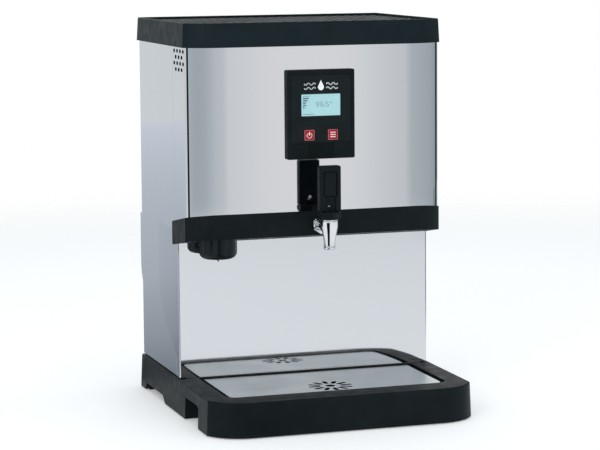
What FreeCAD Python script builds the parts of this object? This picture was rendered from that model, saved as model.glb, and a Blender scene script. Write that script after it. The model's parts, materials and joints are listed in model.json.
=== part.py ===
import FreeCAD, Part
import math
import os

# Countertop automatic-fill hot water dispenser, one STEP file per physical piece.
# Millimetres. X to the right, +Z up, the front faces -Y. The origin is on the worktop, under the
# middle of the whole object. Depths run forward from the casing's rear face.

V = FreeCAD.Vector

# ---- driving dimensions -------------------------------------------------------------------
SHEET = 1.2                 # casing steel
WALL = 3.0                  # moulded plastic wall

CASE_HALF = 196.0           # over the side panels
SEAM_DEPTH = 198.0          # front edge of the side panels
SPLASH_DEPTH = 218.0        # face of the splashback
CREASE_DEPTH = 264.0        # where the head's side turns into its front corner
HEAD_DEPTH = 286.0          # flat face of the head's front panel
HEAD_FLAT_HALF = 146.0      # half the width of that flat
CASE_TOP = 560.0
TOTAL_HEIGHT = 581.0
LID_BOTTOM = 545.5
LID_REAR = 5.0              # how far the lid stands behind the casing
LID_EDGE = 2.0              # round along the lid's top edge

BASE_HALF = 200.0           # at the top edge; 2 mm more at the foot
BASE_DRAFT = 2.0
BASE_TOP = 52.0
SHADOW_GAP = 1.6            # between the base and the casing's lower edge
BASE_REAR = 4.0
REAR_FOOT_FRONT = 36.0      # a wall runs across the base here, down to the foot
BASE_STEP_DEPTH = 190.0     # front of the full-height part of the base
BASE_ARM_DEPTH = 264.0
BASE_ARM_TOP = 33.4
FOOT_DROP = 1.5             # the rubber feet stand this far below the mouldings

TRAY_FLAT_HALF = 144.0
TRAY_FRONT = 418.5          # at the top edge
TRAY_CREASE = 382.6
TRAY_REAR = 219.5
TRAY_CREASE_EASE = 2.5      # blends the side into the corner arc
TRAY_EDGE = 2.2             # round along the rim's outer edge
TRAY_SIDE_BOTTOM = 33.8
TRAY_LEG_DEPTH = 335.0
BASIN_HALF = 155.0
BASIN_FLOOR = 14.0

BAND_OUTSET = 2.0           # skirt under the head, proud of the casing
BAND_HEIGHT = 35.6
BAND_SLOPE = 0.176          # rise of the skirt per unit of depth
BAND_LEVEL = 298.6          # its top edge at BAND_LEVEL_DEPTH
BAND_LEVEL_DEPTH = 264.8
BAND_REAR = 190.5

PANEL_X = 2.3               # the control panel sits a little right of the middle
PANEL_BOTTOM, PANEL_TOP = 380.0, 510.8
PANEL_HALF = 51.9
PANEL_PROUD = 7.0
SCREEN_HALF, SCREEN_LOW, SCREEN_HIGH = 30.1, 443.0, 475.2
KEY_X, KEY_Z, KEY_HALF = 18.1, 415.2, 7.7

TAP_DEPTH = 334.5           # axis of the spout
SHANK_Z = 283.0
SPOUT_TIP, SPOUT_TOP = 252.0, 296.0
BONNET_TOP = 306.5
PIN_Z = 311.0
LEVER_HALF, LEVER_THICK = 16.0, 13.0
LEVER_BOTTOM, LEVER_TOP = 307.2, 374.0

FILTER_X, FILTER_DEPTH = -145.0, 252.0
FILTER_BOTTOM = 235.0

TANK_X, TANK_DEPTH, TANK_RADIUS = 42.0, 117.0, 98.0
TANK_BOTTOM, TANK_RIM = 298.0, 508.0

INLET_X, INLET_Z, INLET_REACH = -120.0, 105.0, 16.0
THREAD_RADIUS = 13.2        # three-quarter inch parallel pipe thread, crest to crest 26.4
GLAND_X, GLAND_Z = 120.0, 100.0

HEAD_CORNER = (CASE_HALF, HEAD_FLAT_HALF, CREASE_DEPTH, HEAD_DEPTH)
TRAY_CORNER = (BASE_HALF, TRAY_FLAT_HALF, TRAY_CREASE, TRAY_FRONT)
Y_REAR = (TRAY_FRONT + BASE_DRAFT - INLET_REACH) / 2


# ---- helpers ------------------------------------------------------------------------------
def at(x, depth, z):
    """The point at a width, a depth from the casing's rear face, and a height."""
    return V(x, Y_REAR - depth, z)


def block(x0, x1, d0, d1, z0, z1):
    return Part.makeBox(x1 - x0, d1 - d0, z1 - z0, at(x0, d1, z0))


def upright(radius, x, depth, z0, z1):
    return Part.makeCylinder(radius, z1 - z0, at(x, depth, z0), V(0, 0, 1))


def crosswise(radius, x0, x1, depth, z):
    return Part.makeCylinder(radius, x1 - x0, at(x0, depth, z), V(1, 0, 0))


def foreaft(radius, x, z, d0, d1):
    return Part.makeCylinder(radius, d1 - d0, at(x, d0, z), V(0, -1, 0))


def join(first, *others):
    return first.multiFuse(list(others)).removeSplitter()


def less(shape, *tools):
    return shape.cut(list(tools))


def both(maker):
    """The solid that maker gives for the left side and for the right side."""
    return [maker(-1), maker(1)]


def mirrored(shape):
    return shape.mirror(V(0, 0, 0), V(1, 0, 0))


def straight(start, end):
    return Part.makeLine(start, end)


def bent(start, middle, end):
    return Part.Arc(start, middle, end).toShape()


def rounded(corners, place):
    """A closed wire through (a, b, radius) corners; place turns (a, b) into a point."""
    joints = []
    for i, (a, b, radius) in enumerate(corners):
        before = V(corners[i - 1][0], corners[i - 1][1], 0)
        after = V(corners[(i + 1) % len(corners)][0], corners[(i + 1) % len(corners)][1], 0)
        corner = V(a, b, 0)
        back = (before - corner).normalize()
        ahead = (after - corner).normalize()
        half = back.getAngle(ahead) / 2
        reach = radius / math.tan(half)
        middle = corner
        if radius > 0:
            middle = corner + (back + ahead).normalize() * (radius / math.sin(half) - radius)
        joints.append((corner + back * reach, middle, corner + ahead * reach, radius))
    edges = []
    for i, (entry, middle, leave, radius) in enumerate(joints):
        if radius > 0:
            edges.append(bent(*[place(p.x, p.y) for p in (entry, middle, leave)]))
        following = joints[(i + 1) % len(joints)][0]
        if (following - leave).Length > 0.001:
            edges.append(straight(place(leave.x, leave.y), place(following.x, following.y)))
    return Part.Wire(edges)


def slab(corners, z0, z1):
    """An upright prism over plan corners (x, depth, radius)."""
    wire = rounded(corners, lambda x, depth: at(x, depth, z0))
    return Part.Face(wire).extrude(V(0, 0, z1 - z0))


def side_slab(corners, x0, x1):
    """A prism across the width over side-view corners (depth, z, radius)."""
    wire = rounded(corners, lambda depth, z: at(x0, depth, z))
    return Part.Face(wire).extrude(V(x1 - x0, 0, 0))


def front_slab(corners, d0, d1):
    """A prism from depth d0 forward to d1 over front-view corners (x, z, radius)."""
    wire = rounded(corners, lambda x, z: at(x, d0, z))
    return Part.Face(wire).extrude(V(0, d0 - d1, 0))


def rectangle(a0, a1, b0, b1, radius=0.0):
    return [(a0, b0, radius), (a1, b0, radius), (a1, b1, radius), (a0, b1, radius)]


def obround(a, b, length, height):
    """Corners of a slot with round ends, long along its first axis."""
    return rectangle(a - length / 2, a + length / 2, b - height / 2, b + height / 2, height * 0.499)


def turned(profile, x, depth):
    """A solid of revolution about the upright line at (x, depth), from (radius, z) corners."""
    points = [at(x + radius, depth, z) for radius, z in profile]
    face = Part.Face(Part.makePolygon(points + points[:1]))
    return face.revolve(at(x, depth, 0), V(0, 0, 1), 360)


def eased(shape, radius, chosen):
    """The shape with a fillet on each edge whose bounding box the test chooses."""
    return shape.makeFillet(radius, [edge for edge in shape.Edges if chosen(edge.BoundBox)])


def hexagon(across_corners, z0, z1, x, depth):
    """A six-sided prism with a corner to the front."""
    points = []
    for i in range(7):
        turn = math.radians(60 * i)
        reach = across_corners / 2
        points.append(at(x + reach * math.sin(turn), depth + reach * math.cos(turn), z0))
    return Part.Face(Part.makePolygon(points)).extrude(V(0, 0, z1 - z0))


def hex_nut(across_corners, bore, x, z, d0, d1):
    """A hexagonal nut whose axis runs fore and aft."""
    points = []
    for i in range(7):
        turn = math.radians(60 * i)
        reach = across_corners / 2
        points.append(at(x + reach * math.sin(turn), d0, z + reach * math.cos(turn)))
    nut = Part.Face(Part.makePolygon(points)).extrude(V(0, d0 - d1, 0))
    return less(nut, foreaft(bore, x, z, d0 - 1, d1 + 1))


def tube(points, radius, bend):
    """A round pipe through the points, with an arc of the bend radius at each inner one."""
    edges = []
    start = points[0]
    for before, corner, after in zip(points, points[1:], points[2:]):
        back = (before - corner).normalize()
        ahead = (after - corner).normalize()
        half = back.getAngle(ahead) / 2
        entry = corner + back * (bend / math.tan(half))
        leave = corner + ahead * (bend / math.tan(half))
        middle = corner + (back + ahead).normalize() * (bend / math.sin(half) - bend)
        edges += [straight(start, entry), bent(entry, middle, leave)]
        start = leave
    edges.append(straight(start, points[-1]))
    ring = Part.Wire(Part.makeCircle(radius, points[0], points[1] - points[0]))
    return Part.Wire(edges).makePipeShell([ring], True, False)


def coil(x, depth, z0, z1, radius, wire, turns):
    """A compression spring of round wire standing between two heights."""
    pitch = (z1 - z0 - 2 * wire) / turns
    line = Part.makeHelix(pitch, pitch * turns, radius)
    ring = Part.Wire(Part.makeCircle(wire, V(radius, 0, 0), V(0, 1, 0)))
    spring = Part.Wire(line.Edges).makePipeShell([ring], True, True)
    spring.translate(at(x, depth, z0 + wire))
    return spring


def plan(corner, offset, rear, z):
    """Plan outline: straight sides, creased arc corners and a flat front, grown by offset."""
    half, flat, crease, front = corner
    lateral = half - flat
    forward = front - crease
    radius = (lateral ** 2 + forward ** 2) / (2 * forward)
    centre = front - radius
    radius += offset
    side = half + offset
    corner_turn = math.asin((side - flat) / radius)
    crease = centre + radius * math.cos(corner_turn)
    middle_x = flat + radius * math.sin(corner_turn / 2)
    middle_depth = centre + radius * math.cos(corner_turn / 2)
    nose = centre + radius
    edges = [
        straight(at(-side, rear, z), at(-side, crease, z)),
        bent(at(-side, crease, z), at(-middle_x, middle_depth, z), at(-flat, nose, z)),
        straight(at(-flat, nose, z), at(flat, nose, z)),
        bent(at(flat, nose, z), at(middle_x, middle_depth, z), at(side, crease, z)),
        straight(at(side, crease, z), at(side, rear, z)),
        straight(at(side, rear, z), at(-side, rear, z)),
    ]
    return Part.Wire(edges)


def plan_prism(corner, offset, rear, z0, z1):
    return Part.Face(plan(corner, offset, rear, z0)).extrude(V(0, 0, z1 - z0))


def plan_taper(corner, low, high):
    """A drafted solid between two (offset, rear, z) plan outlines."""
    return Part.makeLoft([plan(corner, *low), plan(corner, *high)], True, True)


def head_arc(from_turn, to_turn, outer, inner, z0, z1):
    """A piece of the head's left corner between two angles from its front, in degrees."""
    lateral = CASE_HALF - HEAD_FLAT_HALF
    forward = HEAD_DEPTH - CREASE_DEPTH
    radius = (lateral ** 2 + forward ** 2) / (2 * forward)
    centre = HEAD_DEPTH - radius

    def spot(offset, turn):
        angle = math.radians(turn)
        reach = radius + offset
        return at(-HEAD_FLAT_HALF - reach * math.sin(angle), centre + reach * math.cos(angle), z0)

    halfway = (from_turn + to_turn) / 2
    edges = [
        bent(spot(outer, from_turn), spot(outer, halfway), spot(outer, to_turn)),
        straight(spot(outer, to_turn), spot(inner, to_turn)),
        bent(spot(inner, to_turn), spot(inner, halfway), spot(inner, from_turn)),
        straight(spot(inner, from_turn), spot(outer, from_turn)),
    ]
    return Part.Face(Part.Wire(edges)).extrude(V(0, 0, z1 - z0))


CORNER_TURN = math.degrees(2 * math.atan((HEAD_DEPTH - CREASE_DEPTH) / (CASE_HALF - HEAD_FLAT_HALF)))
RETURN_TURN = CORNER_TURN - 2.96      # end of the side strip's folded edge
GAP_TURN = RETURN_TURN - 2.96         # end of the shut line, where the front panel starts
FOLD_TURN = 1.01                      # angle that a sheet thickness takes at the corner
FOLD_DEEP = 6.0


def band_top(depth):
    return BAND_LEVEL + BAND_SLOPE * (depth - BAND_LEVEL_DEPTH)


def tilted_slab(low, high, d0, d1, radius=0.0):
    """The layer between two heights measured from the band's sloping top edge."""
    corners = [
        (d0, band_top(d0) + low, radius),
        (d1, band_top(d1) + low, 0.0),
        (d1, band_top(d1) + high, 0.0),
        (d0, band_top(d0) + high, radius),
    ]
    return side_slab(corners, -BASE_HALF - 10, BASE_HALF + 10)


def save(node, shape):
    shape.exportStep("parts/" + node + ".step")
    print(node, len(shape.Solids), round(shape.Volume / 1000, 2), shape.isValid())


# ---- base ---------------------------------------------------------------------------------
def base_moulding():
    half, foot = BASE_HALF, BASE_HALF + BASE_DRAFT
    low = rounded(
        [(-foot, -BASE_REAR - 1, 8.0), (foot, -BASE_REAR - 1, 8.0),
         (foot, BASE_ARM_DEPTH, 0.0), (-foot, BASE_ARM_DEPTH, 0.0)],
        lambda x, depth: at(x, depth, FOOT_DROP))
    high = rounded(
        [(-half, -BASE_REAR, 8.0), (half, -BASE_REAR, 8.0),
         (half, BASE_ARM_DEPTH, 0.0), (-half, BASE_ARM_DEPTH, 0.0)],
        lambda x, depth: at(x, depth, BASE_TOP))
    body = Part.makeLoft([low, high], True, True)
    side_view = [
        (-BASE_REAR - 2, FOOT_DROP, 0.0), (31.0, FOOT_DROP, 0.0), (REAR_FOOT_FRONT, 12.0, 2.0),
        (134.0, 12.0, 6.0), (149.0, FOOT_DROP, 0.0), (BASE_ARM_DEPTH, FOOT_DROP, 0.0),
        (BASE_ARM_DEPTH, BASE_ARM_TOP, 0.0), (BASE_STEP_DEPTH, BASE_ARM_TOP, 0.0),
        (BASE_STEP_DEPTH, BASE_TOP, 0.0), (-BASE_REAR, BASE_TOP, 6.0),
        (-BASE_REAR - 2, BASE_TOP - 12, 0.0),
    ]
    body = body.common(side_slab(side_view, -foot - 5, foot + 5))
    body = eased(body, 2.0, lambda b: b.ZMin > BASE_TOP - 0.01 and b.YLength > 100)
    body = less(body, block(-160, 160, BASE_STEP_DEPTH, BASE_ARM_DEPTH + 1, 0, BASE_TOP + 1))
    plateau = block(-187.5, 187.5, BASE_STEP_DEPTH - 1, 215.5, FOOT_DROP, BASE_TOP)
    body = join(body, plateau)
    hollow = block(-half + WALL, half - WALL, 0, BASE_STEP_DEPTH - WALL, 0, BASE_TOP - WALL)
    front_hollow = block(-184.5, 184.5, 180, 212.5, 0, BASE_TOP - WALL)
    arm_hollows = both(lambda s: block(min(s * 163, s * 198), max(s * 163, s * 198), 180,
                                       BASE_ARM_DEPTH - WALL, 0, BASE_ARM_TOP - WALL))
    body = less(body, hollow, front_hollow, *arm_hollows)
    cross_wall = block(-half + 2, half - 2, REAR_FOOT_FRONT, REAR_FOOT_FRONT + WALL,
                       FOOT_DROP, BASE_TOP - WALL + 0.5)
    posts = [cross_wall]
    for x, depth, top in foot_places():
        post = upright(13.0, x, depth, FOOT_DROP, top - WALL + 0.5)
        posts.append(less(post, upright(4.2, x, depth, 0, 9.0)))
    return join(body, *posts)


def foot_places():
    places = []
    for x in (-181.0, 181.0):
        places.append((x, 16.0, BASE_TOP))
        places.append((x, 246.0, BASE_ARM_TOP))
    return places


def base_feet():
    feet = []
    for x, depth, _ in foot_places():
        feet.append(join(upright(12.0, x, depth, 0, FOOT_DROP), upright(4.0, x, depth, 1.0, 8.5)))
    return Part.makeCompound(feet)


# ---- frame --------------------------------------------------------------------------------
SHELF_Z = 296.0


def chassis_frame():
    floor = block(-185, 185, 8, 208, BASE_TOP, BASE_TOP + 1.5)
    right = less(block(185, 186.5, 20, 200, BASE_TOP, SHELF_Z), block(184, 188, 62, 158, 105, 245))
    middle = less(block(-101.5, -100, 20, 200, BASE_TOP, SHELF_Z), block(-103, -99, 50, 170, 90, 260))
    right_flange = block(168, 186.5, 20, 200, SHELF_Z - 1.5, SHELF_Z)
    middle_flange = block(-101.5, -80, 20, 200, SHELF_Z - 1.5, SHELF_Z)
    return join(floor, right, middle, right_flange, middle_flange)


def tank_shelf():
    shelf = block(-101.5, 186.5, 14, 210, SHELF_Z, TANK_BOTTOM)
    return less(shelf, upright(38.0, TANK_X, TANK_DEPTH, SHELF_Z - 1, TANK_BOTTOM + 1))


# ---- casing -------------------------------------------------------------------------------
def panel_screw_places():
    return [(x, z) for x in (-188.0, 188.0) for z in (72.0, 225.0, 385.0, 532.0)]


def side_panel():
    """The left panel: flat sheet with a folded flange behind the rear panel's edge."""
    sheet = block(-CASE_HALF, -CASE_HALF + SHEET, 0, SEAM_DEPTH, BASE_TOP + SHADOW_GAP, CASE_TOP)
    flange = block(-CASE_HALF + SHEET, -182, SHEET + 0.2, 2 * SHEET + 0.2, BASE_TOP + SHADOW_GAP, CASE_TOP)
    holes = [foreaft(2.0, x, z, 0, 4) for x, z in panel_screw_places()]
    return less(join(sheet, flange), *holes)


def rear_panel():
    half = CASE_HALF - SHEET - 0.2
    sheet = block(-half, half, 0, SHEET, BASE_TOP + SHADOW_GAP, CASE_TOP)
    cuts = [foreaft(2.0, x, z, -1, 4) for x, z in panel_screw_places() + lid_screw_places()]
    cuts.append(foreaft(13.6, INLET_X, INLET_Z, -1, 4))
    cuts.append(foreaft(10.2, GLAND_X, GLAND_Z, -1, 4))
    for row in range(7):
        for x in (-110.0, -37.0, 37.0, 110.0):
            cuts.append(front_slab(obround(x, 456.0 + 11.0 * row, 56.0, 4.0), -1, 4))
    for row in range(5):
        cuts.append(front_slab(obround(0.0, 80.0 + 11.0 * row, 70.0, 4.0), -1, 4))
    return less(sheet, *cuts)


def casing_screws():
    """The rear panel's screws and the lid's two."""
    screws = []
    for x, z in panel_screw_places():
        screws.append(join(foreaft(4.0, x, z, -2, 0), foreaft(1.8, x, z, -0.5, 8)))
    for x, z in lid_screw_places():
        head = foreaft(3.6, x, z, -LID_REAR - 1.8, -LID_REAR + 0.2)
        screws.append(join(head, foreaft(1.8, x, z, -LID_REAR, 7)))
    return Part.makeCompound(screws)


def splashback():
    """One polished sheet: face, two side returns, and a foot that drops behind the tray."""
    half, inner = CASE_HALF, CASE_HALF - SHEET
    rear, face = SEAM_DEPTH + 0.4, SPLASH_DEPTH
    section = [
        (-half, rear, 0.0), (-half, face, 1.6), (half, face, 1.6), (half, rear, 0.0),
        (inner, rear, 0.0), (inner, face - SHEET, 0.4), (-inner, face - SHEET, 0.4), (-inner, rear, 0.0),
    ]
    wrap = slab(section, BASE_TOP + SHADOW_GAP, 275.0)
    foot = block(-187, 187, face - SHEET, face, 44.0, BASE_TOP + SHADOW_GAP + 1)
    top = block(-inner + 3, inner - 3, face - SHEET, face, 274.0, 295.5)
    return join(wrap, foot, top)


VENT_LENGTH, VENT_HEIGHT = 9.5, 5.5
VENT_PITCH, VENT_ROW = 16.3, 9.0
VENT_FIRST_DEPTH, VENT_TOP_Z = 209.0, 539.5


def vent_strip():
    """The left strip between side panel and front panel, with staggered vents near the top."""
    low = 276.0
    sheet = block(-CASE_HALF, -CASE_HALF + SHEET, SEAM_DEPTH + 0.4, CREASE_DEPTH, low, CASE_TOP)
    edge = head_arc(RETURN_TURN, CORNER_TURN, 0.0, -SHEET, low, CASE_TOP)
    fold = head_arc(RETURN_TURN, RETURN_TURN + FOLD_TURN, 0.0, -FOLD_DEEP, low, CASE_TOP)
    vents = []
    for row in range(4):
        z = VENT_TOP_Z - VENT_ROW * row
        staggered = row % 2
        for column in range(4 - staggered):
            depth = VENT_FIRST_DEPTH + VENT_PITCH * (column + staggered / 2)
            corners = obround(depth, z, VENT_LENGTH, VENT_HEIGHT)
            vents.append(side_slab(corners, -CASE_HALF - 2, -CASE_HALF + 4))
    return less(join(sheet, edge, fold), *vents)


def edge_seals():
    """Black strips set back in the shut lines between the side strips and the front panel."""
    left = head_arc(GAP_TURN + 0.05, RETURN_TURN - 0.05, -1.5, -FOLD_DEEP, 276.0, CASE_TOP - 1)
    return Part.makeCompound([left, mirrored(left)])


FRONT_PANEL_LOW = 296.0


def front_panel():
    low = FRONT_PANEL_LOW
    flat = block(-HEAD_FLAT_HALF, HEAD_FLAT_HALF, HEAD_DEPTH - SHEET, HEAD_DEPTH, low, CASE_TOP)
    curve = head_arc(0, GAP_TURN, 0.0, -SHEET, low, CASE_TOP)
    fold = head_arc(GAP_TURN - FOLD_TURN, GAP_TURN, 0.0, -FOLD_DEEP, low, CASE_TOP)
    sheet = join(flat, curve, fold, mirrored(curve), mirrored(fold))
    return less(sheet, block(PANEL_X - 47, PANEL_X + 47, HEAD_DEPTH - 4, HEAD_DEPTH + 2, 385, 507))


def head_skirt():
    """Sloping black band round the foot of the head, with the head's underside."""
    rim = less(plan_prism(HEAD_CORNER, BAND_OUTSET, BAND_REAR, 200, 360),
               plan_prism(HEAD_CORNER, 0.3, BAND_REAR - 5, 190, 370))
    rim = rim.common(tilted_slab(-BAND_HEIGHT, 0.0, BAND_REAR, HEAD_DEPTH + 10, 4.0))
    floor = plan_prism(HEAD_CORNER, BAND_OUTSET - 0.1, SPLASH_DEPTH + 0.4, 200, 360)
    floor = floor.common(tilted_slab(-BAND_HEIGHT, WALL - BAND_HEIGHT, BAND_REAR, HEAD_DEPTH + 10))
    port = upright(28.8, FILTER_X, FILTER_DEPTH, 200, 360)
    shank_hole = foreaft(8.6, 0, SHANK_Z, HEAD_DEPTH - 5, HEAD_DEPTH + 5)
    return less(join(rim, floor), port, shank_hole)


def lid_screw_places():
    return [(-150.0, 553.0), (150.0, 553.0)]


RIB_PITCH, RIB_WIDTH, RIB_HEIGHT = 13.5, 8.8, 3.6
RIB_TURN = 31.0             # degrees between the ribs and the fore-and-aft direction
LIP = 4.0                   # width of the rim round the ribbed recess
RECESS = 7.0                # depth of that recess


def lid_ribs(floor_z):
    """Diagonal ribs that fill the recess in the lid's top, clear of its lip."""
    field = plan_prism(HEAD_CORNER, 1.2 - LIP - 1.5, -LID_REAR + LIP + 3, floor_z, floor_z + RIB_HEIGHT)
    bars = []
    for step in range(-22, 23):
        bar = Part.makeBox(RIB_WIDTH, 800, RIB_HEIGHT, V(-RIB_WIDTH / 2, -400, floor_z))
        bar.translate(V(step * RIB_PITCH, 0, 0))
        bar.rotate(V(0, 0, 0), V(0, 0, 1), -RIB_TURN)
        bar.translate(V(0, at(0, HEAD_DEPTH / 2, 0).y, 0))
        bars.append(bar)
    return [piece for bar in bars for piece in field.common(bar).Solids]


def lid():
    recess_floor = TOTAL_HEIGHT - RECESS
    outer = plan_taper(HEAD_CORNER, (3.0, -LID_REAR, LID_BOTTOM), (1.2, -LID_REAR + 1.8, TOTAL_HEIGHT))
    outer = eased(outer, LID_EDGE, lambda b: b.ZMin > TOTAL_HEIGHT - 0.01)
    skirt_room = plan_prism(HEAD_CORNER, 0.4, -0.4, LID_BOTTOM - 1, CASE_TOP)
    upper_room = plan_prism(HEAD_CORNER, -12.0, 10.0, CASE_TOP - 1, recess_floor - 3.5)
    recess = plan_prism(HEAD_CORNER, 1.2 - LIP, -LID_REAR + LIP, recess_floor, TOTAL_HEIGHT + 1)
    holes = [foreaft(2.0, x, z, -LID_REAR - 4, 2) for x, z in lid_screw_places()]
    cap = less(outer, skirt_room, upper_room, recess, *holes)
    arrow = slab([(-42.0, HEAD_DEPTH - 38, 0.0), (-6.0, HEAD_DEPTH - 38, 0.0),
                  (-24.0, HEAD_DEPTH - 14, 0.0)], recess_floor - 0.5, recess_floor + RIB_HEIGHT + 0.4)
    return join(cap, arrow, *lid_ribs(recess_floor))


# ---- control panel ------------------------------------------------------------------------
PANEL_FACE = HEAD_DEPTH + PANEL_PROUD
PLATE_BACK = PANEL_FACE - 3.0        # rear of the bezel's front plate
OVERLAY_SEAT = PANEL_FACE - 0.8
OVERLAY_HALF, OVERLAY_LOW, OVERLAY_HIGH = 46.8, 403.6, 503.4
OVERLAY_GAP = 0.5
STATUS_HALF, STATUS_LOW, STATUS_HIGH = 19.4, 381.0, 402.8


def in_panel(shape):
    return shape.translated(V(PANEL_X, 0, 0))


def key_box(side, grow, d0, d1):
    half = KEY_HALF + grow
    corners = rectangle(side * KEY_X - half, side * KEY_X + half, KEY_Z - half, KEY_Z + half, 1.2)
    return front_slab(corners, d0, d1)


def screen_box(grow, d0, d1):
    corners = rectangle(-SCREEN_HALF - grow, SCREEN_HALF + grow,
                        SCREEN_LOW - grow, SCREEN_HIGH + grow, 0.8)
    return front_slab(corners, d0, d1)


def control_bezel():
    frame = front_slab(rectangle(-PANEL_HALF, PANEL_HALF, PANEL_BOTTOM, PANEL_TOP, 2.5),
                       HEAD_DEPTH, PANEL_FACE)
    tub = block(-46, 46, PLATE_BACK - 11, HEAD_DEPTH + 1, 386, 506)
    room = block(-44, 44, PLATE_BACK - 12, PLATE_BACK, 388, 504)
    seat = front_slab(rectangle(-OVERLAY_HALF, OVERLAY_HALF, OVERLAY_LOW, OVERLAY_HIGH, 1.5),
                      OVERLAY_SEAT, PANEL_FACE + 1)
    status = front_slab(rectangle(-STATUS_HALF, STATUS_HALF, STATUS_LOW, STATUS_HIGH, 0.8),
                        PANEL_FACE - 0.6, PANEL_FACE + 1)
    keys = both(lambda s: key_box(s, 0.4, PLATE_BACK - 1, PANEL_FACE + 1))
    screen = screen_box(0.0, PLATE_BACK - 1, PANEL_FACE + 1)
    return in_panel(less(join(frame, tub), room, seat, status, screen, *keys))


def keypad_overlay():
    sheet = front_slab(rectangle(-OVERLAY_HALF + OVERLAY_GAP, OVERLAY_HALF - OVERLAY_GAP,
                                 OVERLAY_LOW + OVERLAY_GAP, OVERLAY_HIGH - OVERLAY_GAP, 1.3),
                       OVERLAY_SEAT, OVERLAY_SEAT + 0.6)
    keys = both(lambda s: key_box(s, 0.4, OVERLAY_SEAT - 1, PANEL_FACE + 1))
    return in_panel(less(sheet, screen_box(0.0, OVERLAY_SEAT - 1, PANEL_FACE + 1), *keys))


def display_window():
    return in_panel(screen_box(-0.2, PLATE_BACK, OVERLAY_SEAT + 0.1))


def status_window():
    return in_panel(front_slab(rectangle(-STATUS_HALF + 0.2, STATUS_HALF - 0.2,
                                         STATUS_LOW + 0.2, STATUS_HIGH - 0.2, 0.7),
                               PANEL_FACE - 0.6, PANEL_FACE))


def key_cap(side):
    """A square key with a retaining flange and a stem that meets its switch."""
    cap = key_box(side, 0.0, PLATE_BACK - 2.6, PANEL_FACE + 0.2)
    flange = key_box(side, 1.8, PLATE_BACK - 2.6, PLATE_BACK - 0.2)
    stem = foreaft(2.2, side * KEY_X, KEY_Z, PLATE_BACK - 3.6, PLATE_BACK - 2)
    return in_panel(join(cap, flange, stem))


def display_board():
    """Circuit board with the display module and the two key switches."""
    face = PLATE_BACK - 8.4
    board = block(-43, 43, face - 1.6, face, 389, 503)
    module = block(-38, 38, face, PLATE_BACK - 0.2, 434, 482)
    switches = both(lambda s: block(s * KEY_X - 3, s * KEY_X + 3, face, PLATE_BACK - 4.6,
                                    KEY_Z - 3, KEY_Z + 3))
    plug = block(-12, 12, face - 9.6, face - 1.6, 392, 400)
    return in_panel(join(board, module, plug, *switches))


def main_board():
    """Control board with relay, transformer, fuse and terminals, standing beside the column."""
    board = block(170, 171.6, 44, 176, 90, 260)
    parts = [
        block(146, 170, 60, 92, 205, 245),      # transformer
        block(154, 170, 110, 138, 210, 240),    # relay for the element
        block(158, 170, 60, 150, 96, 106),      # terminal row
        block(166, 170, 80, 100, 140, 160),     # controller chip carrier
        block(163, 170, 112, 122, 130, 165),    # fuse
        crosswise(6.0, 148, 170, 155, 180),     # smoothing capacitor
    ]
    board = join(board, *parts)
    holes = [crosswise(1.7, 165, 175, depth, z) for depth, z in standoff_places()]
    return less(board, *holes)


def standoff_places():
    return [(depth, z) for depth in (50.0, 170.0) for z in (96.0, 254.0)]


def board_standoffs():
    return Part.makeCompound([crosswise(3.0, 171.6, 185.0, depth, z) for depth, z in standoff_places()])


def terminal_block():
    body = block(90, 150, 58, 78, BASE_TOP + 1.5, 72)
    cuts = []
    for pole in range(5):
        x = 96.0 + 12.0 * pole
        cuts.append(upright(2.6, x, 63, 64, 73))
        cuts.append(foreaft(2.4, x, 60, 50, 66))
    return less(body, *cuts)


def cable_gland():
    """Hexagon, dome and thread of a 20 mm gland, clamped through the rear panel."""
    outside = hex_nut(27.0, 5.0, GLAND_X, GLAND_Z, -8, 0)
    dome = less(foreaft(10.5, GLAND_X, GLAND_Z, -14, -8), foreaft(5.0, GLAND_X, GLAND_Z, -15, -7))
    thread = less(foreaft(10.0, GLAND_X, GLAND_Z, 0, 10), foreaft(5.0, GLAND_X, GLAND_Z, -1, 11))
    nut = hex_nut(28.0, 10.15, GLAND_X, GLAND_Z, SHEET, 6.0)
    return Part.makeCompound([join(outside, dome, thread), nut])


# ---- water inlet and filter ---------------------------------------------------------------
VALVE_DEPTH = 25.0          # axis of the solenoid
VALVE_SEAT = 112.0


def inlet_valve_body():
    x, z = INLET_X, INLET_Z
    solids = [
        foreaft(THREAD_RADIUS, x, z, -INLET_REACH, 0), foreaft(12.6, x, z, -1, SHEET + 0.5),
        foreaft(19.0, x, z, SHEET, 5), foreaft(14.0, x, z, 4, 42),
        foreaft(4.0, x, z, 41, 56), upright(6.4, x, VALVE_DEPTH, z, 168),
    ]
    bores = [
        foreaft(8.0, x, z, -INLET_REACH - 1, 12), foreaft(3.0, x, z, 12, 57),
        upright(4.5, x, VALVE_DEPTH, VALVE_SEAT, 165), upright(2.0, x, VALVE_DEPTH, z, VALVE_SEAT + 1),
    ]
    return less(join(*solids), *bores)


def inlet_valve_coil():
    coil_block = block(INLET_X - 14, INLET_X + 14, VALVE_DEPTH - 14, VALVE_DEPTH + 14, 122, 158)
    tabs = [block(INLET_X - 6 + 9 * i, INLET_X - 2.5 + 9 * i, VALVE_DEPTH + 14, VALVE_DEPTH + 24,
                  150, 150.8) for i in range(2)]
    return less(join(coil_block, *tabs), upright(6.8, INLET_X, VALVE_DEPTH, 120, 160))


def inlet_valve_plunger():
    return upright(4.2, INLET_X, VALVE_DEPTH, VALVE_SEAT + 0.2, 140)


def inlet_valve_spring():
    return coil(INLET_X, VALVE_DEPTH, 140.1, 164.8, 3.2, 0.5, 7)


def supply_hose():
    x, z = INLET_X, INLET_Z
    points = [at(x, 56, z), at(x, 84, z), at(-150, 112, 160), at(-158, 150, 300),
              at(FILTER_X - 12, 176, 437), at(FILTER_X - 12, 205, 437)]
    return tube(points, 4.5, 12.0)


HEAD_PORT_Z = 437.0


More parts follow.
